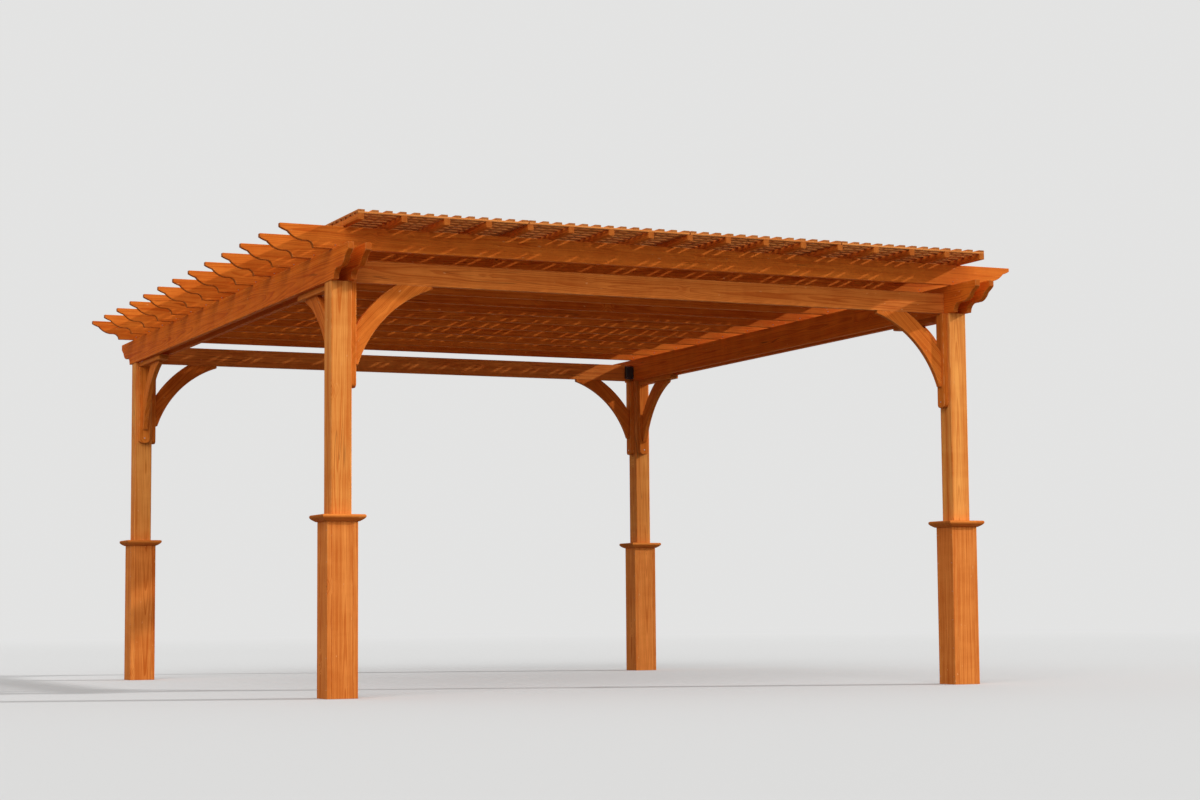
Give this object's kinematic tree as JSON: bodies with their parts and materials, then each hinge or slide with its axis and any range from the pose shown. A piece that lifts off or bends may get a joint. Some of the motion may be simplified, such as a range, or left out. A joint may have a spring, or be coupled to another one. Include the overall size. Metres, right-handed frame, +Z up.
{
  "type": "wooden pergola",
  "caption": "Freestanding garden pergola: posts on boxed bases, doubled beams with sawn ends, curved knee braces, rafters, runners and a square lattice roof.",
  "frame": {"origin": "on the floor, midway between the posts", "axes": "+Z up, +Y along the side beams from front to rear, +X along the rafters from left to right"},
  "size_m": [5.4398, 6.0796, 3.0341],
  "materials": {
    "stained_timber": "satin cedar-tone stain",
    "lattice_timber": "satin cedar-tone stain",
    "black_plastic": "matt black"
  },
  "bodies": {
    "root": {"post_front_left": "stained_timber", "post_front_right": "stained_timber", "post_rear_left": "stained_timber", "post_rear_right": "stained_timber", "base_boards_across": "stained_timber", "base_boards_along": "stained_timber", "base_caps": "stained_timber", "beam_left_outer": "stained_timber", "beam_left_inner": "stained_timber", "beam_right_outer": "stained_timber", "beam_right_inner": "stained_timber", "header_front": "stained_timber", "header_rear": "stained_timber", "battens_upright": "stained_timber", "battens_flat": "stained_timber", "brace_header_front_left": "stained_timber", "brace_header_front_right": "stained_timber", "brace_header_rear_left": "stained_timber", "brace_header_rear_right": "stained_timber", "brace_side_front_left": "stained_timber", "brace_side_front_right": "stained_timber", "brace_side_rear_left": "stained_timber", "brace_side_rear_right": "stained_timber", "rafter_01": "stained_timber", "rafter_02": "stained_timber", "rafter_03": "stained_timber", "rafter_04": "stained_timber", "rafter_05": "stained_timber", "rafter_06": "stained_timber", "rafter_07": "stained_timber", "rafter_08": "stained_timber", "rafter_09": "stained_timber", "rafter_10": "stained_timber", "rafter_11": "stained_timber", "rafter_12": "stained_timber", "rafter_13": "stained_timber", "runners": "stained_timber", "lattice_lower": "lattice_timber", "lattice_upper": "lattice_timber", "junction_box": "black_plastic"}
  },
  "joints": []
}
